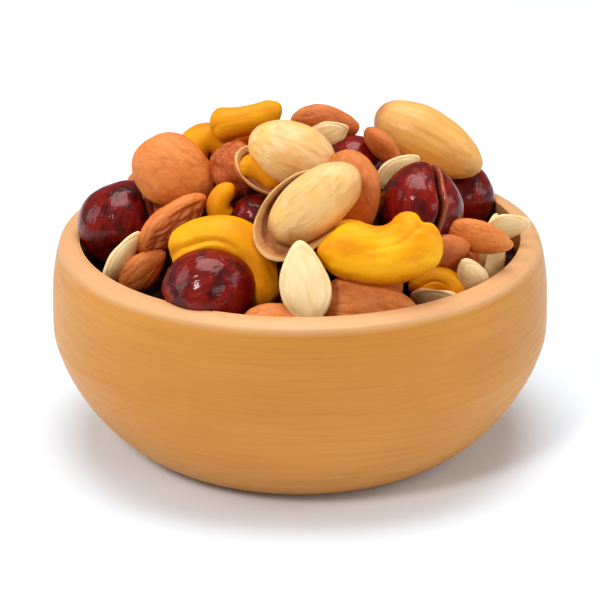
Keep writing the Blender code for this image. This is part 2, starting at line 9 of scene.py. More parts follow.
import bmesh
import bpy
import numpy as np
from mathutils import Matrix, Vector

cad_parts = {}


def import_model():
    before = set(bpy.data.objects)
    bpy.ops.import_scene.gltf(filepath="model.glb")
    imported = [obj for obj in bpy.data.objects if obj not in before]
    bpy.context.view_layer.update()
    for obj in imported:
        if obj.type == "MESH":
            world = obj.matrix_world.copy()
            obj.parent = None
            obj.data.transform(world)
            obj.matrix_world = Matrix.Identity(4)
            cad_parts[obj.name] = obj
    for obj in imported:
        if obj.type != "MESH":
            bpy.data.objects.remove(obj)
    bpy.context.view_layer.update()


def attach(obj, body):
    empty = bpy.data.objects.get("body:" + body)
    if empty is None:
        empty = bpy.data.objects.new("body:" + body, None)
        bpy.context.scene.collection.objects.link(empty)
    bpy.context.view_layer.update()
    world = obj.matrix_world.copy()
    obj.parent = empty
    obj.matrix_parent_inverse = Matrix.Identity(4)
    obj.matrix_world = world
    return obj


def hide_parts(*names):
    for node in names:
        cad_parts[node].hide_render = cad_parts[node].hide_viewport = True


MM = 0.001
GAP = 0.3 * MM
TINY = 1e-9

# The bowl
RIM_HEIGHT = 51.2 * MM
FOOT_RADIUS = 37.9 * MM
BELLY_RADIUS = 60 * MM
BELLY_HEIGHT = 28.8 * MM
BELLY_FULLNESS = 1.48
EDGE_RADIUS = 58 * MM
EDGE_HEIGHT = 49.3 * MM
EDGE_FULLNESS = 3.26
RIM_FLAT_OUTER = 55.6 * MM
RIM_FLAT_INNER = 53.9 * MM
INNER_RADIUS = 53 * MM
INNER_EDGE_DROP = 1.0 * MM
INNER_BELLY_RADIUS = 53.8 * MM
INNER_BELLY_HEIGHT = 30 * MM
INNER_FULLNESS = 1.6
FLOOR_RADIUS = 22 * MM
FLOOR_HEIGHT = 8 * MM
RIM_BEVEL = 0.25 * MM
RIM_FALL = 0.15 * MM
EDGE_BEVEL = (1.0 * MM, 1.1 * MM)
INNER_WALL_HOLLOW = 0.3 * MM
FLOOR_POINTS = 7
FOOT_POINTS = 9

# The heap: its outline is an ellipsoid about the middle of the rim. Its core fills the bowl up to a flat
# top, with a mound on it.
DOME = np.array([52, 52, 28.5]) * MM
CORE_TOP = 44 * MM
CORE_EDGE = (5 * MM, 2 * MM)
MOUND_MIDDLE = np.array([0, -7, 50]) * MM
MOUND_HALF = np.array([34, 31, 16]) * MM

# Where the nuts are seen from: the viewer looks down at a point near the middle of the rim
VIEWER_TILT = math.radians(22.5)
VIEWER_DISTANCE = 590 * MM
EYE_DROP = 16.4 * MM

# How the nuts settle against each other, the core and the wall
PROBES = 70
CASHEW_BALLS = 5
SETTLE_STEPS = 60
PULL = 0.25 * MM
LEAST_SHARE = 0.05
UNSEEN_SHARE = 0.35
MOST_SHIFT = 4 * MM
SIDE_HOLD = 0.3
WALL_REACH = 1.5 * MM
LEAST_JOIN = 0.9 * MM
MOST_IN_CORE = 2.5 * MM
SINK_STEP = 0.4 * MM
MOST_SINK_STEPS = 25

# Length, breadth and thickness of each kind, in mm. A stout one is a cashew that is hardly bent.
USUAL = {
    "hazelnut": (19, 18.2, 18.2),
    "kernel": (12.5, 12, 11.5),
    "almond": (21, 13.5, 8),
    "cashew": (26, 16, 11),
    "stout": (27.5, 15.5, 13.5),
    "pistachio": (22, 13, 12.5),
    "shell": (21, 13.5, 6),
    "seed": (17, 9.5, 3),
}

# How the forms of the kinds differ from a ball, as shares of half their size
HAZELNUT_SLIM = 0.14
HAZELNUT_TIP = 0.06
HAZELNUT_BASE = 0.92
HAZELNUT_SHIFT = 0.07
EGG_SLIM = 0.1
ALMOND_SLIM = 0.2
ALMOND_ENDS = 0.12
ALMOND_THIN = 0.12
SHELL_LIP = 0.16
SHELL_LIP_DEPTH = 0.2
SHELL_HOLLOW = 0.72
SEED_SLIM = 0.16
SEED_ENDS = 0.24
CASHEW_SLIM = 0.14
STOUT_SLIM = 0.2

# The nuts on the side towards the viewer, each with its kind, place, turns, length and breadth. The place
# is right of and above the middle of the rim, as the viewer sees it, and back from the dome, in mm. The
# turns are in the view, of the long axis towards the viewer and about the long axis, in degrees.
SEEN = [
    ("hazelnut", -25.5, 15, 9, 40, 0, 0, 16, 15.5),
    ("almond", -37.5, 12.5, 17, 65, 0, 20, 13, 9.5),
    ("stout", -21, 21, 5, -14, 0, 0, 15, 10),
    ("cashew", -14, 19.5, 15, 100, 20, 0, 12, 9),
    ("stout", -13, 26.8, -20, 13, 0, -15, 17.8, 7),
    ("almond", 6, 25.2, 4, -3, 0, 35, 17, 11),
    ("seed", 6.6, 23.2, 6, 18, 25, 15, 12, 7),
    ("hazelnut", 13, 15, 15, 30, 0, 0, 15.5, 15),
    ("almond", 20.2, 20, 5, -48, 0, 70, 13, 8.5),
    ("hazelnut", 38.6, 8.8, 16, 80, 0, 0, 18, 17.5),
    ("pistachio", 31, 21.7, -8, -29, 0, 0, 29.4, 15),
    ("seed", 23.5, 14.6, 9, 32, 0, 30, 12.5, 7),
    ("hazelnut", 28.6, 5.2, 3, 90, 0, 0, 20.5, 20),
    ("kernel", -15.2, 14.6, 3, -62, 0, 0, 14, 11.5),
    ("stout", -19, 6.6, 13, 80, 20, 30, 11, 7),
    ("hazelnut", -9.5, 1.5, 22, 0, 0, 0, 11, 10.5),
    ("shell", -8.4, 13.4, 8, -30, 0, 150, 16.5, 11.5),
    ("almond", 12.5, 9.5, 8, -76, 0, 25, 19.5, 14),
    ("stout", -9.4, 14.2, 5, -35, 0, 0, 11, 5.5),
    ("shell", -1.6, 19.4, -8, -22, 0, -12, 21, 15),
    ("shell", -0.6, 3.4, 3, 46, 0, 180, 24, 16),
    ("shell", 4, 6.2, -4, 39, 0, 12, 24.5, 14),
    ("cashew", 11.5, -3.5, 15, 10, 0, 0, 16, 11),
    ("cashew", 6.5, -8.2, 18, 80, 20, 0, 13, 9.5),
    ("almond", -29.9, 14.2, -1, -25, 0, 0, 21, 17),
    ("hazelnut", -43, 2.4, -3, 70, 0, 0, 20.6, 20.2),
    ("almond", -30.4, 1.5, 9, 42, 0, 60, 20.5, 13),
    ("cashew", -15.8, -7.2, 12, -28, 0, 0, 28, 17.5),
    ("hazelnut", -21.4, -14.9, -7, 20, 0, 0, 21.2, 20.8),
    ("seed", -43, -6.5, -2, 57, 0, 45, 14.5, 7),
    ("almond", -37.8, -9.4, 3, 40, 0, 30, 13.5, 8.5),
    ("stout", 19.4, -5.4, 1, 187, 0, 0, 27.5, 15),
    ("almond", 42.8, -1.2, 0, -14, 0, 55, 16.5, 10),
    ("almond", 35.5, -4.8, 1, 20, 0, 30, 12, 8.5),
    ("almond", 38, -10, 5, -25, 0, 10, 16, 11),
    ("cashew", 34.5, -14.2, 3, -30, 0, 0, 14.5, 10),
    ("seed", 49.9, 1, -15, 12, 0, 30, 11, 7),
    ("seed", 47, -7.5, -2, 78, 0, 50, 14, 7),
    ("seed", 41.2, -11.8, -3, 118, 25, 10, 11, 7.5),
    ("almond", 16, -18, 0, -4, 0, 0, 23, 13.5),
    ("seed", 34, -17.2, -2, -12, 0, 40, 14, 7.5),
    ("almond", -5.5, -23, 0, 5, 0, 0, 17, 11),
    ("seed", 1.2, -12.5, -5, 98, 0, 0, 19, 11.5),
]

# The nuts on the far side and underneath follow a seeded rule. Each layer has its depth under the dome in mm,
# the number of places tried, the overlap allowed in mm and the share of each kind.
FILL_SEED = 1
FILL_LAYERS = (
    (0, 900, 2.5, {"hazelnut": 4, "almond": 4, "cashew": 4, "pistachio": 3, "shell": 2}),
    (0, 400, 3, {"kernel": 2, "seed": 2, "almond": 3, "cashew": 2}),
    (3, 900, 3.5, {"almond": 4, "hazelnut": 2, "cashew": 2, "seed": 1}),
    (6, 1500, 4, {"almond": 4, "hazelnut": 2, "cashew": 2}),
    (9, 900, 4, {"almond": 5, "kernel": 2}),
)
# Usual length and breadth of those nuts, in mm
FILL_SIZES = {
    "hazelnut": (18.5, 18),
    "kernel": (12.5, 12),
    "almond": (21, 13.5),
    "cashew": (25, 15.5),
    "pistachio": (22, 13),
    "shell": (21, 13),
    "seed": (16, 9),
}
FILL_SCALE = (0.9, 1.1)
FILL_BREADTH = (0.94, 1.06)
FILL_LEAN = 14
FILL_SPIN = 18
FILL_LOWEST = -0.35
SKYLINE = 22.5 * MM
SKYLINE_FALL = 3
MOST_ABOVE = 1 * MM
MOST_COVER = 0.4
MOST_SUNK = 0.6
FILL_FRONT = 5 * MM
# The most of a nut that shows in front of the seen ones, when it is placed and after it settled
MOST_SHOWN = (0.2, 0.28)
# The least distance between two nuts, as a share of their breadths
CLOSEST = 0.25
TURNED_SHELLS = 0.4

# The camera, fitted to the rim's ellipse and the foot
CAMERA_PLACE = (0, -0.5512, 0.2621)
CAMERA_TILT = math.radians(67.45)
CAMERA_LENS = 146.9
SENSOR = 36

# Faces along a cube's edge for the fine mesh of a nut that the viewer sees and of one on the far side
FINE = {
    "hazelnut": 38,
    "kernel": 22,
    "almond": 30,
    "cashew": 32,
    "stout": 36,
    "pistachio": 34,
    "shell": 34,
    "seed": 22,
}
FAR_SHARE = 0.7
DETAIL_SEED = 5

# Fineness of the rest: points for each one of a profile, steps round the axis, faces along a cube's edge
# for the mound, and how near two points are one where a turned piece closes
BOWL_SMOOTHING = 5
BOWL_STEPS = 224
CORE_SMOOTHING = 3
CORE_STEPS = 96
MOUND_CUTS = 24
SEAM_GAP = 0.01 * MM

# The bumps of each kind's skin: height in mm, how dense they are along the nut next to across, size in mm
SKIN = {
    "hazelnut": ((0.16, 1, 10), (0.03, 0.3, 1.6)),
    "kernel": ((0.35, 1, 5),),
    "almond": ((0.13, 1, 9), (0.025, 0.6, 0.9)),
    "cashew": ((0.35, 0.6, 9), (0.05, 1, 2.2)),
    "stout": ((0.35, 0.6, 10), (0.06, 0.3, 2)),
    "pistachio": ((0.03, 0.12, 1.7), (0.12, 1, 8)),
    "shell": ((0.03, 0.12, 1.7), (0.12, 1, 8)),
    "seed": ((0.22, 1, 7), (0.015, 0.3, 1.2)),
}
WAVE_COUNT = 18
# How far in mm the pattern of a nut is shifted at most
PATTERN_SHIFT = 500

# Small forms of the nuts: depths and heights in mm
KERNEL_FURROW = 0.22
CREASE_DEPTH = 0.1
CUT_DEPTH = 1.1
WRINKLE_HEIGHT = 0.7
FOLD_DEPTH = 1.0
ROLL_HEIGHT = 0.4
STOUT_FOLD = 0.3
STOUT_TIP = 1.8
STOUT_NOTCH = 1.1
SEAM_DEPTH = 0.2
LIP_HEIGHT = 0.12
GROOVE_DEPTH = 0.1
# How far in mm the skin of a stout cashew lies under its solid's
STOUT_SUNK = 0.2
# Humps of a stout cashew: height in mm, then place and width along it as shares of half its length
STOUT_HUMPS = ((1.3, 0.4, 0.4), (0.5, -0.7, 0.25))
# From where to where the cut face sinks in, as shares of half the thickness
CUT_EDGE = (0.42, 0.42 + 1 / 7)

# Cracks in hazelnuts by their row in SEEN: turn in the view of the way across the crack and its lean back, in
# degrees, how far it is from the middle as a share of the radius, and its width and depth in mm
CRACKS = {
    12: (-8, 19, 0.104, 0.9, 2.6),
    25: (12, 6, 0.62, 0.5, 0.8),
    7: (-60, 25, 0.2, 0.4, 0.6),
}
# How far a crack wanders, the size of its bends, and its pale lip's place past the edge and width, in mm,
# then how sharp its edges are
CRACK_WANDER = 0.25
CRACK_BENDS = 9
CRACK_LIP = (0.45, 0.5)
CRACK_STEEP = 9
# How much the shell past a crack is raised, as a share of the depth, and how far that reaches in mm
CRACK_RAISED = 0.35 / 2.6
CRACK_REACH = 2.5

# Rows in SEEN of almonds that are cut open, with a wrinkled face inside
CUT_OPEN = (26,)

# Rows in SEEN of shells with a brown scar at the blunt end
SCARRED = (21,)

# How far each nut's colour is towards its kind's dark one, by row in SEEN; the rest follow the seeded rule
TONES = {
    2: 0.8, 3: 1.0, 4: 1.0, 10: 1.0, 16: 0.6, 17: 0.7, 18: 1.0, 19: 0.0, 20: 0.7,
    21: 0.3, 24: 0.25, 26: 0.5, 27: 0.6, 30: 0.4, 31: 0.1, 39: 0.0, 41: 0.5,
}

# Colours, in linear red, green and blue. Those in a list are a ramp's, each after its place on it.
WOOD_CLOUDS = [(0.3, (0.58, 0.245, 0.045)), (0.7, (0.67, 0.31, 0.068))]
WOOD_STREAK = (0.52, 0.195, 0.03)
WOOD_FIBRE = (0.42, 0.15, 0.022)
WOOD_RIM = (0.74, 0.46, 0.27)
HAZELNUT_STREAKS = [(0.3, (0.14, 0.004, 0.002)), (0.5, (0.21, 0.007, 0.003)), (0.75, (0.3, 0.014, 0.005))]
HAZELNUT_PATCH = (0.045, 0.003, 0.003)
HAZELNUT_LIP = (0.42, 0.12, 0.045)
# Painted shade: near black where a hazelnut's crack gap shows
HAZELNUT_CRACK_SHADE = (0.012, 0.004, 0.003)
ALMOND_VEINS = [(0.3, (0.62, 0.18, 0.038)), (0.5, (0.76, 0.26, 0.062)), (0.75, (0.86, 0.37, 0.11))]
ALMOND_CLOUD = (0.82, 0.28, 0.05)
# Painted shade: darker in an almond's creases
ALMOND_CREASE_SHADE = (0.38, 0.09, 0.018)
ALMOND_CUT = (0.66, 0.26, 0.11)
ALMOND_DARK = (0.46, 0.11, 0.028)
KERNEL_VEINS = [(0.3, (0.26, 0.05, 0.012)), (0.55, (0.54, 0.14, 0.04)), (0.75, (0.70, 0.27, 0.09))]
CASHEW_CLOUDS = [(0.35, (0.80, 0.31, 0.006)), (0.5, (0.92, 0.42, 0.006)), (0.65, (0.95, 0.50, 0.010))]
CASHEW_GRAIN = (0.78, 0.27, 0.006)
# Painted shade: darker orange on a cashew's hollow side and underside
CASHEW_HOLLOW_SHADE = (0.68, 0.19, 0.006)
# Painted shade: darker in a cashew's fold
CASHEW_FOLD_SHADE = (0.50, 0.14, 0.006)
CASHEW_DARK = (0.64, 0.235, 0.006)
PISTACHIO_ZONES = [(0.32, (0.80, 0.45, 0.16)), (0.5, (0.86, 0.56, 0.26)), (0.72, (0.83, 0.50, 0.13))]
PISTACHIO_DARK = (0.76, 0.39, 0.09)
PISTACHIO_LINE = (0.62, 0.29, 0.06)
PISTACHIO_SCAR = (0.52, 0.20, 0.06)
PISTACHIO_INSIDE = [(0.35, (0.52, 0.20, 0.065)), (0.7, (0.82, 0.42, 0.17))]
PISTACHIO_LIP = (0.88, 0.55, 0.25)
SEED_GRAIN = [(0.3, (0.86, 0.60, 0.28)), (0.5, (0.90, 0.67, 0.35)), (0.75, (0.93, 0.73, 0.43))]
# Painted shade: darker in the groove inside a seed's rim
SEED_GROOVE_SHADE = (0.66, 0.42, 0.17)
SEED_RIM = (0.92, 0.68, 0.36)
# Painted shade: the near-black core that shows between the nuts
GAP_SHADE_GRAIN = [(0.35, (0.012, 0.004, 0.002)), (0.7, (0.07, 0.024, 0.01))]
FLOOR_COLOUR = (0.84, 0.92, 1.0, 1)
WHITE = (1, 1, 1, 1)

# The floor's half width in metres
FLOOR_HALF = 6

# Light: how strong the surroundings and the floor's own glow are, then each softbox's place and size, in
# metres, and its watts
WORLD_STRENGTH = 0.18
FLOOR_GLOW = 0.02
LIGHTS = {
    "key": ((-0.42, -0.72, 0.78), 0.2, 3.7),
    "fill": ((0.55, -0.7, 0.4), 0.25, 0.7),
    "left": ((-0.95, 0.05, 0.5), 0.6, 2.5),
    "right": ((0.95, -0.05, 0.5), 0.6, 2.5),
    "overhead": ((0, 0.1, 0.95), 0.7, 6.6),
}


def turned(turn, lean, spin):
    """Rotation of a nut: spin about its long axis X, then lean of that axis towards +Z, then turn about Z."""
    cos_turn, cos_lean, cos_spin = np.cos(np.radians([turn, lean, spin]))
    sin_turn, sin_lean, sin_spin = np.sin(np.radians([turn, lean, spin]))
    about_z = np.array([[cos_turn, -sin_turn, 0], [sin_turn, cos_turn, 0], [0, 0, 1]])
    about_y = np.array([[cos_lean, 0, -sin_lean], [0, 1, 0], [sin_lean, 0, cos_lean]])
    about_x = np.array([[1, 0, 0], [0, cos_spin, -sin_spin], [0, sin_spin, cos_spin]])
    return about_z @ about_y @ about_x


def spiral(count):
    """Points spread evenly over a sphere of radius 1, on a golden-angle spiral."""
    step = np.arange(count)
    height = 1 - (2 * step + 1) / count
    turn = step * math.pi * (3 - math.sqrt(5))
    flat = np.sqrt(1 - height * height)
    return np.stack([flat * np.cos(turn), flat * np.sin(turn), height], 1)


def view_frame(tilt):
    """Right, up and towards the viewer, as columns, for someone in front who looks down by tilt."""
    return np.array([[1, 0, 0], [0, math.sin(tilt), -math.cos(tilt)], [0, math.cos(tilt), math.sin(tilt)]])


def cashew_arc(size):
    """Radius and half angle of the arc that runs along the middle of a cashew, between its round ends."""
    length, breadth, thick = size
    chord, rise = length - thick, breadth - thick
    half = 2 * math.atan(2 * rise / chord)
    return chord / (2 * math.sin(half)), half


def cashew_line(along, size):
    """Middle of a cashew's section and its turn: an arc that bulges towards +Y, at along from -1 to 1, and
    straight on past its ends."""
    radius, half = cashew_arc(size)
    turn = np.clip(along, -1, 1) * half
    past = (along - np.clip(along, -1, 1)) * half * radius
    rise = size[1] - size[2]
    across = radius * np.sin(turn) + past * np.cos(turn)
    up = radius * (np.cos(turn) - 1) + rise / 2 - past * np.sin(turn)
    return np.stack([across, up, 0 * turn], -1), turn


class Nut:
    """One nut: its kind, size, middle and rotation, and the ellipsoids and probe points that stand for it."""

    def __init__(self, kind, size, middle, rotation, line=None):
        self.kind = kind
        self.size = size
        self.middle = middle
        self.rotation = rotation
        self.line = line
        self.start = middle.copy()
        offsets, halves = [np.zeros(3)], [size / 2]
        if kind in ("cashew", "stout"):
            offsets = cashew_line(np.linspace(-1, 1, CASHEW_BALLS), size)[0]
            halves = [np.full(3, size[2] / 2)] * len(offsets)
        self.offsets = [rotation @ offset for offset in offsets]
        self.to_unit = [(rotation / half).T for half in halves]
        points = spiral(PROBES // len(halves))
        shells = [offset + (points * half) @ rotation.T for offset, half in zip(self.offsets, halves)]
        self.probes = np.concatenate(shells)
        self.reach = float(np.linalg.norm(self.probes, axis=1).max())


def depth_inside(points, middle, to_unit):
    """How deep the deepest of the points is in an ellipsoid, and the way out for it."""
    scaled = (points - middle) @ to_unit.T
    share = np.linalg.norm(scaled, axis=1)
    deepest = int(share.argmin())
    if not LEAST_SHARE < share[deepest] < 1:
        return 0.0, None
    push = to_unit.T @ scaled[deepest]
    size = np.linalg.norm(push)
    return float((1 - share[deepest]) * share[deepest] / size), push / size


def overlap(one, two):
    """How far two nuts are inside each other, and the direction that frees the first."""
    best, way = 0.0, None
    if np.linalg.norm(one.middle - two.middle) > one.reach + two.reach:
        return best, way
    for first, second, sign in ((one, two, 1), (two, one, -1)):
        points = first.middle + first.probes
        for offset, to_unit in zip(second.offsets, second.to_unit):
            depth, out = depth_inside(points, second.middle + offset, to_unit)
            if depth > best:
                best, way = depth, out * sign
    return best, way


def depth_in_core(nut):
    """How deep a nut reaches into the core, and the way out."""
    depth, out = depth_inside(nut.middle + nut.probes, MOUND_MIDDLE, np.diag(1 / MOUND_HALF))
    below_top = CORE_TOP - (nut.middle[2] + nut.probes[:, 2].min())
    if below_top > depth:
        return float(below_top), np.array([0.0, 0.0, 1.0])
    return depth, out


def hold(nut):
    """Moves a nut out of the core and inside the bowl's wall."""
    depth, out = depth_in_core(nut)
    most = MOST_IN_CORE if nut.line is not None else nut.size[2] * MOST_SUNK
    if depth > most:
        nut.middle = nut.middle + out * (depth - most)
    points = nut.middle + nut.probes
    low = points[points[:, 2] < RIM_HEIGHT + WALL_REACH]
    if len(low):
        radius = np.hypot(low[:, 0], low[:, 1])
        widest = int(radius.argmax())
        past_wall = radius[widest] - (INNER_RADIUS - GAP)
        if past_wall > 0:
            nut.middle[:2] -= low[widest, :2] / radius[widest] * past_wall


def part_pair(one, two):
    """Moves two nuts apart where they cross. One that is seen from the front moves less than the others."""
    depth, way = overlap(one, two)
    if depth > 0:
        share = 0.5 + UNSEEN_SHARE * ((one.line is None) - (two.line is None))
        one.middle = one.middle + way * depth * share
        two.middle = two.middle - way * depth * (1 - share)


def settle(nuts, steps):
    for _ in range(steps):
        for nut in nuts:
            nut.middle = nut.middle + inward(nut) * PULL
        for i, one in enumerate(nuts):
            for two in nuts[i + 1 :]:
                part_pair(one, two)
        for nut in nuts:
            hold(nut)
            if nut.line is not None:
                off = nut.middle - nut.start
                along = float(off @ nut.line)
                side = off - nut.line * along
                along = min(max(along, -MOST_SHIFT), MOST_SHIFT)
                nut.middle = nut.start + nut.line * along + side * SIDE_HOLD


def inward(nut):
    """The way a nut sinks: along its line of sight, or square to the dome."""
    if nut.line is not None:
        return nut.line
    out = (nut.middle - [0, 0, RIM_HEIGHT]) / DOME**2
    return -out / np.linalg.norm(out)


def joined_to_core(nuts):
    """The nuts that reach the core, straight or through others."""
    joined = [nut for nut in nuts if depth_in_core(nut)[0] > LEAST_JOIN]
    left = [nut for nut in nuts if nut not in joined]
    for nut in joined:
        reached = [other for other in left if overlap(nut, other)[0] > LEAST_JOIN]
        joined += reached
        left = [other for other in left if other not in reached]
    return joined


def sink_loose(nuts):
    """Sinks each nut that touches nothing until it is joined to the core, at last straight down."""
    places = [nut.middle for nut in nuts]
    for step in range(2 * MOST_SINK_STEPS):
        joined = joined_to_core(nuts)
        for nut, place in zip(nuts, places):
            if nut not in joined:
                if step == MOST_SINK_STEPS:
                    nut.middle = place
                way = inward(nut) if step < MOST_SINK_STEPS else np.array([0, 0, -1])
                nut.middle = nut.middle + way * SINK_STEP


def size_of(kind, length, breadth):
    usual = USUAL[kind]
    broader = breadth / usual[1]
    if kind in ("cashew", "stout"):
        broader = (length / usual[0] + broader) / 2
    return np.array([length, breadth, usual[2] * broader]) * MM


def distance_to(start, line, half):
    """How far along a line an ellipsoid with these half sizes starts, or where the line passes nearest."""
    start, way = start / half, line / half
    square, middle = way @ way, start @ way
    inside = middle * middle - square * (start @ start - 1)
    return (-middle - math.sqrt(max(inside, 0))) / square


def seen_nuts():
    view = view_frame(VIEWER_TILT)
    rim = np.array([0, 0, RIM_HEIGHT])
    eye = rim + view @ [0, -EYE_DROP, VIEWER_DISTANCE]
    nuts = []
    for kind, across, up, back, turn, lean, spin, length, breadth in SEEN:
        size = size_of(kind, length, breadth)
        line = rim + view @ (np.array([across, up, 0]) * MM) - eye
        line /= np.linalg.norm(line)
        half = DOME - (size[2] if kind == "seed" else size[2] / 2)
        middle = eye + line * (distance_to(eye - rim, line, half) + back * MM)
        nuts.append(Nut(kind, size, middle, view @ turned(turn, lean, spin), line))
    return nuts


def fill_nut(spot, kind, depth, draw):
    """A nut of the far side or the lower layer at a spot of the unit sphere, lowered under the skyline."""
    scale = draw.uniform(*FILL_SCALE)
    turn, lean, spin = draw.uniform(0, 360), draw.gauss(0, FILL_LEAN), draw.gauss(0, FILL_SPIN)
    length, breadth = FILL_SIZES[kind]
    size = size_of(kind, length * scale, breadth * scale * draw.uniform(*FILL_BREADTH))
    if kind == "shell" and draw.random() < TURNED_SHELLS:
        spin += 180
    middle = spot * (DOME - depth - size[2] / 2)
    if spot[2] < 0:
        middle[:2] *= (INNER_RADIUS - size[2] / 2 - depth) / np.hypot(*middle[:2])
    out = spot / DOME
    out /= np.linalg.norm(out)
    side = np.cross([0, 0, 1], out)
    side /= np.linalg.norm(side)
    frame = np.stack([side, np.cross(out, side), out], 1)
    nut = Nut(kind, size, middle + [0, 0, RIM_HEIGHT], frame @ turned(turn, lean, spin))
    nut.middle[2] -= max(above_skyline(nut), 0) / math.cos(VIEWER_TILT)
    return nut


def above_skyline(nut):
    """How far a nut stands above the line that the nuts of the near side hide, as the viewer sees it."""
    seen = (nut.middle + nut.probes - [0, 0, RIM_HEIGHT]) @ view_frame(VIEWER_TILT)
    top = SKYLINE * (1 - np.abs(seen[:, 0] / DOME[0]) ** SKYLINE_FALL)
    return float((seen[:, 1] - top).max())


def covers(nut, nuts):
    """Whether a nut is in front of one that is seen, as the viewer sees them."""
    for other in nuts:
        off = (nut.middle - other.middle) @ view_frame(VIEWER_TILT)
        near = (nut.size[1] + other.size[1]) * MOST_COVER
        if other.line is not None and off[2] > 0 and math.hypot(off[0], off[1]) < near:
            return True
    return False


def shown(nut, nuts):
    """The share of a nut that isn't behind those that are seen, as the viewer sees them."""
    towards = view_frame(VIEWER_TILT)[:, 2]
    points = nut.middle + nut.probes
    clear = np.ones(len(points), bool)
    for other in nuts:
        if other.line is None:
            continue
        for offset, to_unit in zip(other.offsets, other.to_unit):
            start, way = (points - other.middle - offset) @ to_unit.T, to_unit @ towards
            along = start @ way / (way @ way)
            nearest = np.linalg.norm(start - np.outer(along, way), axis=1)
            clear &= (along > 0) | (nearest > 1)
    return clear.mean()


def in_the_way(nut, nuts, most_shown):
    in_front = nut.middle[1] < FILL_FRONT or covers(nut, nuts)
    return in_front and shown(nut, nuts) > most_shown


def crosses(one, two, allowed):
    between = np.linalg.norm(one.middle - two.middle)
    return between < (one.size[1] + two.size[1]) * CLOSEST or overlap(one, two)[0] > allowed


def stays(nut, nuts):
    """Whether a nut of the far side is still out of the viewer's way after it settled."""
    return above_skyline(nut) < MOST_ABOVE and not in_the_way(nut, nuts, MOST_SHOWN[1])


def fill_nuts(nuts):
    """Adds nuts where there is room, from the top of the heap down."""
    draw = random.Random(FILL_SEED)
    for depth, places, allowed, shares in FILL_LAYERS:
        bag = [kind for kind, share in shares.items() for _ in range(share)]
        for spot in spiral(places):
            nut = fill_nut(spot, draw.choice(bag), depth * MM, draw)
            sunk = depth_in_core(nut)[0] > nut.size[2] * MOST_SUNK
            if sunk or spot[2] < FILL_LOWEST:
                continue
            if in_the_way(nut, nuts, MOST_SHOWN[0]):
                continue
            if not any(crosses(nut, other, allowed * MM) for other in nuts):
                nuts.append(nut)


def laid_nuts():
    nuts = seen_nuts()
    settle(nuts, SETTLE_STEPS)
    fill_nuts(nuts)
    settle(nuts, SETTLE_STEPS // 2)
    nuts = [nut for nut in nuts if nut.line is not None or stays(nut, nuts)]
    sink_loose(nuts)
    return nuts


def hazelnut_form(x, y, z, size):
    slim = 1 - HAZELNUT_SLIM * np.maximum(x, 0) ** 2
    tip = HAZELNUT_TIP * np.maximum(x, 0) ** 6
    along = np.maximum(x + tip, -HAZELNUT_BASE) - HAZELNUT_SHIFT
    return np.stack([along, y * slim, z * slim], 1) * size / 2


def egg_form(x, y, z, size):
    slim = 1 - EGG_SLIM * x
    return np.stack([x, y * slim, z * slim], 1) * size / 2


def almond_form(x, y, z, size):
    slim = 1 - ALMOND_SLIM * x - ALMOND_ENDS * x * x
    return np.stack([x, y * slim, z * (1 - ALMOND_THIN * x)], 1) * size / 2


def shell_form(x, y, z, size):
    """Half a pistachio shell: the lower half of the ball is folded up to be its hollow inside."""
    inner = z < 0
    inset = np.where(inner, 1 - SHELL_LIP * np.minimum(-z / SHELL_LIP_DEPTH, 1), 1)
    height = np.where(inner, -SHELL_HOLLOW * z, z)
    return np.stack([x * inset, y * inset, 2 * height - 1], 1) * size / 2


def seed_form(x, y, z, size):
    slim = 1 - SEED_SLIM * x - SEED_ENDS * x * x
    return np.stack([x, y * slim, z], 1) * size / 2


def cashew_form(x, y, z, size, slim=CASHEW_SLIM):
    """A bent sausage with round ends, fatter at one end."""
    radius, half = cashew_arc(size)
    cap = size[2] / 2 / (radius * half)
    along = x * (1 + cap)
    past = np.maximum(np.abs(along) - 1, 0) / cap
    section = np.sqrt(1 - np.minimum(past, 1) ** 2) * (1 - slim * x) * size[2] / 2
    around = np.hypot(y, z) + TINY
    middle, turn = cashew_line(along, size)
    out, up = section * y / around, section * z / around
    return middle + np.stack([out * np.sin(turn), out * np.cos(turn), up], 1)


def stout_form(x, y, z, size):
    return cashew_form(x, y, z, size, STOUT_SLIM)


def corner(start, end, fullness, count):
    """Points of a rounded corner from start, where it runs upright, to end, where it runs level."""
    points = []
    for step in range(1, count + 1):
        angle = step / count * math.pi / 2
        level, upright = 1 - math.cos(angle) ** (2 / fullness), math.sin(angle) ** (2 / fullness)
        points.append(
            (start[0] + (end[0] - start[0]) * level, start[1] + (end[1] - start[1]) * upright)
        )
    return points


def inner_wall(inset):
    """Profile of the bowl's hollow from the axis up to just under the rim, moved inwards by inset."""
    belly = (INNER_BELLY_RADIUS - inset, INNER_BELLY_HEIGHT)
    floor = (FLOOR_RADIUS, FLOOR_HEIGHT + inset)
    curve = [belly] + corner(belly, floor, INNER_FULLNESS, FLOOR_POINTS)
    under_rim = (INNER_RADIUS - inset, RIM_HEIGHT - INNER_EDGE_DROP)
    halfway_radius = INNER_BELLY_RADIUS - inset - INNER_WALL_HOLLOW
    halfway = (halfway_radius, (INNER_BELLY_HEIGHT + RIM_HEIGHT) / 2)
    return [(0, FLOOR_HEIGHT + inset)] + curve[::-1] + [halfway, under_rim]


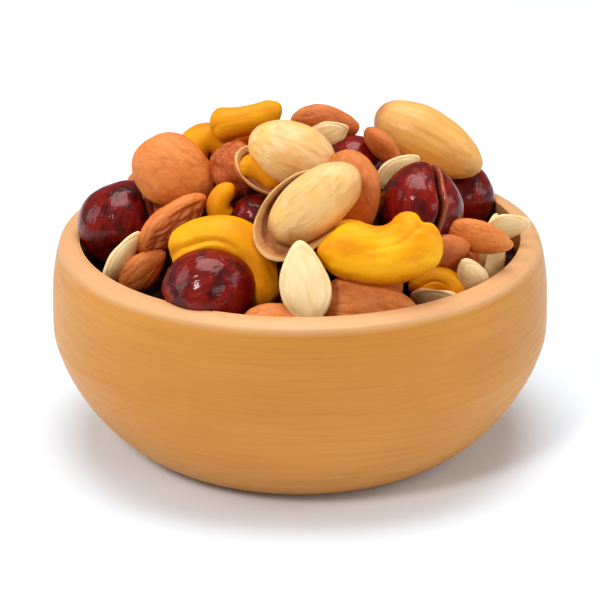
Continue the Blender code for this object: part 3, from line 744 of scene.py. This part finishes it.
def bowl_profile():
    """From the middle of the hollow up the inside, over the rim, down the outside and in under the foot."""
    points = inner_wall(0)
    points += [
        (INNER_RADIUS + RIM_BEVEL, RIM_HEIGHT - RIM_BEVEL),
        (RIM_FLAT_INNER, RIM_HEIGHT),
        (RIM_FLAT_OUTER, RIM_HEIGHT - RIM_FALL),
        (EDGE_RADIUS - EDGE_BEVEL[0], EDGE_HEIGHT + EDGE_BEVEL[1]),
        (EDGE_RADIUS, EDGE_HEIGHT),
    ]
    for share in (0.75, 0.5, 0.25, 0):
        ease = (BELLY_RADIUS - EDGE_RADIUS) * share**EDGE_FULLNESS
        points.append((BELLY_RADIUS - ease, BELLY_HEIGHT + share * (EDGE_HEIGHT - BELLY_HEIGHT)))
    points += corner((BELLY_RADIUS, BELLY_HEIGHT), (FOOT_RADIUS, 0), BELLY_FULLNESS, FOOT_POINTS)
    points.append((0, 0))
    return points


def core_profile():
    """The lower core fills the bowl up to a flat top under the rim."""
    level, upright = CORE_EDGE
    points = [point for point in inner_wall(GAP) if point[1] < CORE_TOP - level]
    points.append((INNER_RADIUS - GAP, CORE_TOP - upright))
    points.append((INNER_RADIUS - level, CORE_TOP))
    return [(0, CORE_TOP)] + points[::-1]


def smoothed(points, steps):
    """More points on a smooth curve through the given ones."""
    points = np.array([points[0], *points, points[-1]])
    found = []
    for before, start, end, after in zip(points, points[1:], points[2:], points[3:]):
        for share in np.arange(steps) / steps:
            bend = 2 * before - 5 * start + 4 * end - after
            twist = 3 * start - before - 3 * end + after
            found.append(start + (share * (end - before) + share**2 * bend + share**3 * twist) / 2)
    return found + [points[-1]]


def placed(name, data):
    """A new object in the scene with this mesh, camera or light."""
    made = bpy.data.objects.new(name, data)
    bpy.context.scene.collection.objects.link(made)
    return made


def turned_piece(name, profile, steps):
    """A piece turned about the Z axis from a profile of (radius, height)."""
    mesh = bpy.data.meshes.new(name)
    edges = [(i, i + 1) for i in range(len(profile) - 1)]
    mesh.from_pydata([(radius, 0, height) for radius, height in profile], edges, [])
    made = placed(name, mesh)
    screw = made.modifiers.new("Turn", "SCREW")
    screw.steps = screw.render_steps = steps
    screw.use_merge_vertices = True
    screw.merge_threshold = SEAM_GAP
    screw.use_smooth_shade = True
    return made


def ball(cuts):
    """Points and faces of a ball of radius 1 whose faces are spread as on a cube."""
    shape = bmesh.new()
    bmesh.ops.create_cube(shape, size=2)
    bmesh.ops.subdivide_edges(shape, edges=shape.edges, cuts=cuts - 1, use_grid_fill=True)
    points = np.array([vert.co for vert in shape.verts])
    faces = np.array([[vert.index for vert in face.verts] for face in shape.faces])
    shape.free()
    points = np.tan(points * math.pi / 4)
    return points / np.linalg.norm(points, axis=1)[:, None], faces


def normals_of(points, faces):
    across = points[faces[:, 2]] - points[faces[:, 0]]
    along = points[faces[:, 3]] - points[faces[:, 1]]
    normal = np.cross(across, along)
    total = np.zeros_like(points)
    for corner_index in range(4):
        np.add.at(total, faces[:, corner_index], normal)
    return total / np.linalg.norm(total, axis=1)[:, None]


def waves(points, size, draw):
    """A smooth random field with bumps of the given size, about -1 to 1, at points in mm."""
    total = np.zeros(len(points))
    for _ in range(WAVE_COUNT):
        way = np.array([draw.gauss(0, 1) for _ in range(3)])
        way *= 2 * math.pi / size / np.linalg.norm(way)
        total += np.cos(points @ way + draw.uniform(0, 2 * math.pi))
    return total * math.sqrt(1 / WAVE_COUNT)


def drawn_out(points, along, size, draw):
    """The same field with its bumps drawn out along the nut, where along is less than 1."""
    return waves(points * [along, 1, 1], size, draw)


def skin(kind, points, draw):
    """Height of a nut's skin over its form, in mm."""
    return sum(height * drawn_out(points, along, size, draw) for height, along, size in SKIN[kind])


def bump_at(value, middle, width):
    return np.exp(-(((value - middle) / width) ** 2))


def rise_from(value, low, high):
    """From 0 at low to 1 at high."""
    return np.clip((value - low) / (high - low), 0, 1)


def marks_of(points, first=0, second=0, third=0):
    """Three marks at each point, which the look of the kind reads."""
    marks = np.zeros_like(points)
    marks[:, 0], marks[:, 1], marks[:, 2] = first, second, third
    return marks


def crack_of(nut, points, draw):
    """Depth of the crack in a hazelnut's shell, and how much of it and of its far lip shows."""
    turn, lean, offset, width, depth = nut.crack
    across = nut.rotation.T @ view_frame(VIEWER_TILT) @ turned(turn, -lean, 0)[:, 0]
    radius = nut.size[1] / 2 / MM
    place = points @ across - offset * radius + CRACK_WANDER * waves(points, CRACK_BENDS, draw)
    # The gap also carries the painted shade of the crack
    gap = 1 / (1 + np.exp((np.abs(place) - width / 2) * CRACK_STEEP))
    lip = bump_at(place, width / 2 + CRACK_LIP[0], CRACK_LIP[1])
    past = np.maximum(place - width / 2, 0)
    raised = CRACK_RAISED * np.exp(-past / CRACK_REACH) * (place > 0)
    return depth * (gap - raised), gap, lip


def hazelnut_detail(nut, ball_points, points, draw):
    """Soft dents, fine lines along the shell and the crack, if it has one."""
    rise = skin("hazelnut", points, draw)
    if not nut.crack:
        return rise, marks_of(points)
    depth, gap, lip = crack_of(nut, points, draw)
    return rise - depth, marks_of(points, gap, lip)


def kernel_detail(nut, ball_points, points, draw):
    """Lumps with furrows between them."""
    rise = skin("kernel", points, draw)
    return rise - KERNEL_FURROW * np.abs(drawn_out(points, 0.5, 3, draw)), marks_of(points)


def almond_detail(nut, ball_points, points, draw):
    """Fine creases, and in a cut one a sunk face with wrinkles."""
    creases = np.abs(drawn_out(points, 0.35, 3.4, draw))
    rise = skin("almond", points, draw) - CREASE_DEPTH * bump_at(creases, 0, 0.35)
    face = 0
    if nut.cut_open:
        face = rise_from(ball_points[:, 2], *CUT_EDGE)
        wrinkle = np.minimum(np.abs(drawn_out(points, 0.5, 2.6, draw)), 1.2)
        rise -= face * (CUT_DEPTH - WRINKLE_HEIGHT * wrinkle)
    # The first mark paints shade in the creases
    return rise, marks_of(points, bump_at(creases, 0, 0.4), face)


def cashew_detail(nut, ball_points, points, draw):
    """A fold along the upper side with a roll beside it."""
    x, y, z = ball_points.T
    share = min(nut.size[0] / USUAL["cashew"][0] / MM, 1)
    line = 0.28 - 0.55 * np.clip(x + 0.75, 0, 1)
    near = np.clip(z * 3, 0, 1) * np.clip(0.2 - x * 1.5, 0, 1)
    fold = bump_at(y, line, 0.08) * near
    roll = bump_at(y, line - 0.2, 0.12) * near
    rise = skin("cashew", points, draw) - FOLD_DEPTH * fold + ROLL_HEIGHT * roll
    # Painted shade: the hollow mark darkens the hollow side and the slim end
    hollow = np.clip(np.maximum(-y, 1.1 * x - 0.3), 0, 1)
    # The first mark paints shade in the fold
    return share * rise, marks_of(points, fold * 0.7, hollow)


def stout_detail(nut, ball_points, points, draw):
    """A small fold, two humps on the hollow side, a full tip at one end and a notch at the other."""
    x, y, z = ball_points.T
    share = min(nut.size[0] / USUAL["stout"][0] / MM, 1) ** 3
    fold = bump_at(y, -0.25, 0.05) * np.clip(z * 3, 0, 1) * np.clip(0.3 - x, 0, 1)
    humps = sum(height * bump_at(x, middle, width) for height, middle, width in STOUT_HUMPS)
    humps = humps * np.clip(-y * 1.4, 0, 1)
    tip = STOUT_TIP * rise_from(x, 0.75, 1) ** 2 * bump_at(y, 0.4, 0.4)
    notch = STOUT_NOTCH * rise_from(-x, 0.7, 0.9) * bump_at(y, -0.3, 0.13)
    rise = skin("stout", points, draw) - STOUT_FOLD * fold + humps + tip - notch
    # Painted shade: the hollow mark darkens both long sides, so that it reaches the underside
    hollow = np.clip(1.6 * np.abs(y) - 0.7, 0, 1)
    # The first mark paints shade in the fold
    return share * rise - STOUT_SUNK, marks_of(points, fold * 0.5, hollow)


def pistachio_detail(nut, ball_points, points, draw):
    """A closed shell with its seam."""
    x, _, z = ball_points.T
    seam = bump_at(z, 0, 0.05) * (x > -0.5)
    rise = skin("pistachio", points, draw) - SEAM_DEPTH * seam
    return rise, marks_of(points, 0, rise_from(-x, 0.8, 0.95), seam)


def shell_detail(nut, ball_points, points, draw):
    """A half shell, with its hollow inside, a scar if it has one and a raised lip."""
    x, _, z = ball_points.T
    rise = skin("shell", points, draw) + LIP_HEIGHT * bump_at(z, 0, 0.1)
    scar = 0
    if nut.scarred:
        scar = rise_from(0.08 * waves(points, 5, draw) - x, 0.78, 0.98)
    return rise, marks_of(points, np.clip(-z * 6, 0, 1), scar, bump_at(z, 0, 0.12))


def seed_detail(nut, ball_points, points, draw):
    """A flat seed with a groove inside its rim."""
    x, y, z = ball_points.T
    flat = np.hypot(x, y)
    groove = bump_at(flat, 0.84, 0.06) * (np.abs(z) > 0.1)
    rise = skin("seed", points, draw) - GROOVE_DEPTH * groove
    # The first mark paints shade in the groove
    return rise, marks_of(points, groove, rise_from(flat, 0.86, 0.96))


# The form and the detail of each kind
KINDS = {
    "hazelnut": (hazelnut_form, hazelnut_detail),
    "kernel": (egg_form, kernel_detail),
    "almond": (almond_form, almond_detail),
    "pistachio": (egg_form, pistachio_detail),
    "shell": (shell_form, shell_detail),
    "seed": (seed_form, seed_detail),
    "cashew": (cashew_form, cashew_detail),
    "stout": (stout_form, stout_detail),
}


def fine_nut(nut, draw):
    """Points, faces, spots, marks and tones of a nut's fine mesh. The spots are its own points, shifted so
    that no two nuts have one pattern."""
    share = 1 if nut.line is not None else FAR_SHARE
    unit, faces = ball(2 * round(FINE[nut.kind] * share / 2))
    shape, detail = KINDS[nut.kind]
    form = shape(*unit.T, nut.size)
    rise, marks = detail(nut, unit, form / MM, draw)
    form = form + normals_of(form, faces) * rise[:, None] * MM
    shift = np.array([draw.uniform(0, PATTERN_SHIFT) for _ in range(3)])
    points = form @ nut.rotation.T + nut.middle
    return points, faces, form / MM + shift, marks, np.full(len(points), nut.tone)


def joined_piece(name, nuts, look):
    """One piece of many nuts' fine meshes."""
    points, faces, spots, marks, tones = zip(*nuts)
    starts = np.cumsum([0] + [len(some) for some in points])
    faces = np.concatenate([some + start for some, start in zip(faces, starts)])
    mesh = bpy.data.meshes.new(name)
    mesh.from_pydata(np.concatenate(points).tolist(), [], faces.tolist())
    for label, values in (("spot", spots), ("marks", marks)):
        layer = mesh.attributes.new(label, "FLOAT_VECTOR", "POINT")
        layer.data.foreach_set("vector", np.concatenate(values).ravel())
    layer = mesh.attributes.new("tone", "FLOAT", "POINT")
    layer.data.foreach_set("value", np.concatenate(tones))
    mesh.shade_smooth()
    mesh.materials.append(look)
    return placed(name, mesh)


class Look:
    """A node material that is built up step by step."""

    def __init__(self, name):
        self.material = bpy.data.materials.new(name)
        self.material.use_nodes = True
        self.tree = self.material.node_tree
        self.shader = self.tree.nodes["Principled BSDF"]

    def node(self, kind, **settings):
        made = self.tree.nodes.new(kind)
        for name, value in settings.items():
            setattr(made, name, value)
        return made

    def link(self, source, target):
        self.tree.links.new(source, target)

    def fill(self, socket, value):
        """Links a socket to an output, or sets it to a colour or a number."""
        if isinstance(value, bpy.types.NodeSocket):
            self.link(value, socket)
        else:
            socket.default_value = (*value, 1) if isinstance(value, tuple) else value

    def attribute(self, name, output):
        return self.node("ShaderNodeAttribute", attribute_name=name).outputs[output]

    def parts(self, vector):
        made = self.node("ShaderNodeSeparateXYZ")
        self.link(vector, made.inputs[0])
        return made.outputs

    def marks(self):
        return self.parts(self.attribute("marks", "Vector"))

    def stretched(self, vector, scale):
        mapping = self.node("ShaderNodeMapping")
        mapping.inputs["Scale"].default_value = scale
        self.link(vector, mapping.inputs["Vector"])
        return mapping.outputs[0]

    def noise(self, vector, scale, detail=3.0, rough=0.55, warp=0.0):
        made = self.node("ShaderNodeTexNoise")
        made.inputs["Scale"].default_value = scale
        made.inputs["Detail"].default_value = detail
        made.inputs["Roughness"].default_value = rough
        made.inputs["Distortion"].default_value = warp
        self.link(vector, made.inputs["Vector"])
        return made.outputs["Fac"]

    def span(self, value, low, high, to_low=0.0, to_high=1.0):
        made = self.node("ShaderNodeMapRange")
        limits = {"From Min": low, "From Max": high, "To Min": to_low, "To Max": to_high}
        for name, number in limits.items():
            made.inputs[name].default_value = number
        self.link(value, made.inputs["Value"])
        return made.outputs[0]

    def ramp(self, value, stops):
        made = self.node("ShaderNodeValToRGB")
        elements = made.color_ramp.elements
        for _ in stops[2:]:
            elements.new(0.5)
        for element, (place, colour) in zip(elements, stops):
            element.position = place
            element.color = (*colour, 1)
        self.link(value, made.inputs["Fac"])
        return made.outputs["Color"]

    def mix(self, share, one, two):
        made = self.node("ShaderNodeMix", data_type="RGBA")
        sockets = (made.inputs[0], made.inputs[6], made.inputs[7])
        for socket, value in zip(sockets, (share, one, two)):
            self.fill(socket, value)
        return made.outputs[2]

    def tint(self, base, colour, most, value, low=0.0, high=1.0):
        """The base with a colour over it: none where the value is low, and the most where it is high."""
        return self.mix(self.span(value, low, high, 0, most), base, colour)

    def bump(self, height, strength, distance, after=None):
        made = self.node("ShaderNodeBump")
        made.inputs["Strength"].default_value = strength
        made.inputs["Distance"].default_value = distance
        self.link(height, made.inputs["Height"])
        if after is not None:
            self.link(after, made.inputs["Normal"])
        return made.outputs[0]

    def finish(self, colour, roughness, normal, **sockets):
        self.link(colour, self.shader.inputs["Base Color"])
        self.fill(self.shader.inputs["Roughness"], roughness)
        self.link(normal, self.shader.inputs["Normal"])
        if "Coat_Weight" in sockets:
            self.link(normal, self.shader.inputs["Coat Normal"])
        for name, value in sockets.items():
            self.shader.inputs[name.replace("_", " ")].default_value = value
        return self.material


def wood_look():
    look = Look("turned_wood")
    place = look.node("ShaderNodeTexCoord").outputs["Object"]
    fibre = look.noise(look.stretched(place, (55, 70, 1500)), 1, 4, 0.6)
    streak = look.noise(look.stretched(place, (18, 25, 420)), 1, 4, 0.55)
    cloud = look.noise(look.stretched(place, (12, 14, 40)), 1, 3, 0.5)
    base = look.ramp(cloud, WOOD_CLOUDS)
    base = look.tint(base, WOOD_STREAK, 0.2, streak, 0.5, 0.7)
    base = look.tint(base, WOOD_FIBRE, 0.23, fibre, 0.45, 0.7)
    height = look.parts(place)[2]
    base = look.tint(base, WOOD_RIM, 0.6, height, EDGE_HEIGHT - 1 * MM, EDGE_HEIGHT + 0.6 * MM)
    rough = look.span(fibre, 0.3, 0.7, 0.36, 0.5)
    normal = look.bump(fibre, 0.06, 0.0004)
    return look.finish(base, rough, normal, Specular_IOR_Level=0.3)


def hazelnut_look():
    look = Look("hazelnut_shell")
    spot = look.attribute("spot", "Vector")
    streak = look.noise(look.stretched(spot, (0.12, 0.9, 0.9)), 1, 4, 0.6)
    patch = look.noise(spot, 0.22, 3, 0.6)
    gap, lip, _ = look.marks()
    base = look.ramp(streak, HAZELNUT_STREAKS)
    base = look.tint(base, HAZELNUT_PATCH, 0.8, patch, 0.46, 0.62)
    base = look.tint(base, HAZELNUT_LIP, 0.8, lip, 0.3, 0.9)
    # Painted shade in the crack's gap
    base = look.mix(gap, base, HAZELNUT_CRACK_SHADE)
    wrinkle = look.noise(look.stretched(spot, (0.5, 1, 1)), 0.7, 3, 0.55)
    normal = look.bump(wrinkle, 0.3, 0.0006)
    return look.finish(base, 0.45, normal, Specular_IOR_Level=0.15, Coat_Weight=0.55, Coat_Roughness=0.06)


def almond_look():
    look = Look("almond_skin")
    spot = look.attribute("spot", "Vector")
    vein = look.noise(look.stretched(spot, (0.6, 1, 1)), 0.55, 6, 0.68, 1.2)
    cloud = look.noise(spot, 0.2, 3, 0.5)
    crease_shade, face, _ = look.marks()
    base = look.ramp(vein, ALMOND_VEINS)
    base = look.tint(base, ALMOND_CLOUD, 0.4, cloud, 0.4, 0.7)
    # Painted shade in the creases
    base = look.tint(base, ALMOND_CREASE_SHADE, 0.2, crease_shade, 0.2)
    base = look.tint(base, ALMOND_CUT, 0.6, face)
    base = look.tint(base, ALMOND_DARK, 0.55, look.attribute("tone", "Fac"))
    grain = look.bump(look.noise(spot, 3.2, 3), 0.3, 0.0002)
    rough = look.span(vein, 0.3, 0.7, 0.42, 0.6)
    return look.finish(base, rough, look.bump(vein, 0.3, 0.0005, grain), Specular_IOR_Level=0.4)


def kernel_look():
    look = Look("kernel_skin")
    spot = look.attribute("spot", "Vector")
    vein = look.noise(look.stretched(spot, (0.5, 1, 1)), 0.8, 5, 0.65, 0.8)
    base = look.ramp(vein, KERNEL_VEINS)
    return look.finish(base, 0.6, look.bump(vein, 0.5, 0.0006), Specular_IOR_Level=0.25)


def cashew_look():
    look = Look("cashew_saffron")
    spot = look.attribute("spot", "Vector")
    cloud = look.noise(look.stretched(spot, (0.6, 1, 1)), 0.17, 3, 0.5)
    grain = look.noise(look.stretched(spot, (0.3, 1, 1)), 0.9, 4, 0.6)
    fold, hollow, _ = look.marks()
    base = look.ramp(cloud, CASHEW_CLOUDS)
    base = look.tint(base, CASHEW_GRAIN, 0.45, grain, 0.5, 0.75)
    # Painted shade on the hollow side and underside
    base = look.tint(base, CASHEW_HOLLOW_SHADE, 0.75, hollow, 0.2, 0.9)
    # Painted shade in the fold
    base = look.tint(base, CASHEW_FOLD_SHADE, 0.7, fold, 0.2)
    base = look.tint(base, CASHEW_DARK, 0.6, look.attribute("tone", "Fac"))
    rough = look.span(cloud, 0.3, 0.7, 0.4, 0.54)
    return look.finish(base, rough, look.bump(grain, 0.2, 0.0004), Specular_IOR_Level=0.2)


def pistachio_look():
    look = Look("pistachio_shell")
    spot = look.attribute("spot", "Vector")
    line = look.noise(look.stretched(spot, (0.08, 1, 1)), 0.8, 4, 0.6)
    zone = look.noise(spot, 0.16, 3, 0.5)
    inside, scar, lip = look.marks()
    base = look.ramp(zone, PISTACHIO_ZONES)
    base = look.tint(base, PISTACHIO_DARK, 0.75, look.attribute("tone", "Fac"))
    base = look.tint(base, PISTACHIO_LINE, 0.55, line, 0.5, 0.68)
    base = look.tint(base, PISTACHIO_SCAR, 0.85, scar)
    base = look.mix(inside, base, look.ramp(look.noise(spot, 0.5, 4, 0.6), PISTACHIO_INSIDE))
    base = look.tint(base, PISTACHIO_LIP, 0.6, lip, 0.4)
    rough = look.span(line, 0.3, 0.7, 0.38, 0.52)
    return look.finish(base, rough, look.bump(line, 0.25, 0.0004), Specular_IOR_Level=0.45)


def seed_look():
    look = Look("pumpkin_seed")
    spot = look.attribute("spot", "Vector")
    grain = look.noise(look.stretched(spot, (0.25, 1, 1)), 0.9, 4, 0.6)
    groove, rim, _ = look.marks()
    base = look.ramp(grain, SEED_GRAIN)
    # Painted shade in the groove
    base = look.tint(base, SEED_GROOVE_SHADE, 0.3, groove, 0.2)
    base = look.tint(base, SEED_RIM, 0.3, rim, 0.2)
    return look.finish(base, 0.4, look.bump(grain, 0.15, 0.0003))


def core_look():
    look = Look("painted_gap_shade")
    spot = look.node("ShaderNodeTexCoord").outputs["Object"]
    # Near black to paint the deep shade between the nuts
    grain = look.noise(spot, 600, 4, 0.6)
    base = look.ramp(grain, GAP_SHADE_GRAIN)
    return look.finish(base, 0.9, look.bump(grain, 0.6, 0.001), Specular_IOR_Level=0.1)


PIECES = {
    "hazelnuts": (("hazelnut",), hazelnut_look),
    "skinned_kernels": (("kernel",), kernel_look),
    "almonds": (("almond",), almond_look),
    "cashews": (("cashew", "stout"), cashew_look),
    "pistachios": (("pistachio", "shell"), pistachio_look),
    "pumpkin_seeds": (("seed",), seed_look),
}


def core_piece():
    """The flat core with its mound, near black to paint the shade in the gaps between the nuts."""
    core = turned_piece("heap_core", smoothed(core_profile(), CORE_SMOOTHING), CORE_STEPS)
    unit, faces = ball(MOUND_CUTS)
    mesh = bpy.data.meshes.new("heap_mound")
    mesh.from_pydata((unit * MOUND_HALF + MOUND_MIDDLE).tolist(), [], faces.tolist())
    mesh.shade_smooth()
    look = core_look()
    for piece in (core, placed("heap_mound", mesh)):
        piece.data.materials.append(look)
        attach(piece, "root")
        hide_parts("nut_heap")


def bowl_piece():
    """The bowl, as wide after its profile is smoothed as it was before."""
    profile = bowl_profile()
    rounded = smoothed(profile[:-1], BOWL_SMOOTHING) + [profile[-1]]
    widest = max(radius for radius, _ in rounded)
    fit = max(radius for radius, _ in profile) / widest
    bowl = turned_piece("turned_bowl", [(radius * fit, height) for radius, height in rounded], BOWL_STEPS)
    bowl.data.materials.append(wood_look())
    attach(bowl, "root")
    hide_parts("bowl")


def nut_pieces():
    """One piece for each kind of nut, with what sets each nut of it apart."""
    draw = random.Random(DETAIL_SEED)
    nuts = laid_nuts()
    for index, nut in enumerate(nuts):
        nut.crack = CRACKS.get(index)
        nut.cut_open = index in CUT_OPEN
        nut.scarred = index in SCARRED
        nut.tone = TONES.get(index, draw.random())
    for name, (kinds, look) in PIECES.items():
        fine = [fine_nut(nut, draw) for nut in nuts if nut.kind in kinds]
        piece = joined_piece(name, fine, look())
        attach(piece, "root")
        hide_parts("nut_heap")


def add_camera():
    data = bpy.data.cameras.new("camera")
    data.lens = CAMERA_LENS
    data.sensor_width = SENSOR
    camera = placed("camera", data)
    camera.location = CAMERA_PLACE
    camera.rotation_euler = (CAMERA_TILT, 0, 0)
    bpy.context.scene.camera = camera


def add_floor():
    mesh = bpy.data.meshes.new("floor")
    corners = [(x * FLOOR_HALF, y * FLOOR_HALF, 0) for x, y in ((-1, -1), (1, -1), (1, 1), (-1, 1))]
    mesh.from_pydata(corners, [], [(0, 1, 2, 3)])
    look = Look("pale_floor")
    sockets = {"Roughness": 0.9, "Specular IOR Level": 0.1, "Emission Strength": FLOOR_GLOW}
    sockets |= {"Base Color": FLOOR_COLOUR, "Emission Color": WHITE}
    for name, value in sockets.items():
        look.shader.inputs[name].default_value = value
    mesh.materials.append(look.material)
    placed("floor", mesh)


def add_light(name, place, size, power):
    """A square softbox at a place, aimed at the heap."""
    data = bpy.data.lights.new(name, "AREA")
    data.shape = "SQUARE"
    data.size = size
    data.energy = power
    light = placed(name, data)
    light.location = place
    aim = light.location - Vector((0, 0, RIM_HEIGHT))
    light.rotation_euler = aim.to_track_quat("Z", "Y").to_euler()


def add_world():
    world = bpy.data.worlds.new("studio")
    world.use_nodes = True
    back = world.node_tree.nodes["Background"]
    back.inputs["Color"].default_value = WHITE
    back.inputs["Strength"].default_value = WORLD_STRENGTH
    bpy.context.scene.world = world


def main():
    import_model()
    add_camera()
    add_floor()
    add_world()
    for name, (place, size, power) in LIGHTS.items():
        add_light(name, place, size, power)
    scene = bpy.context.scene
    scene.view_settings.view_transform = "Standard"
    scene.view_settings.look = "Medium High Contrast"
    bowl_piece()
    core_piece()
    nut_pieces()


main()
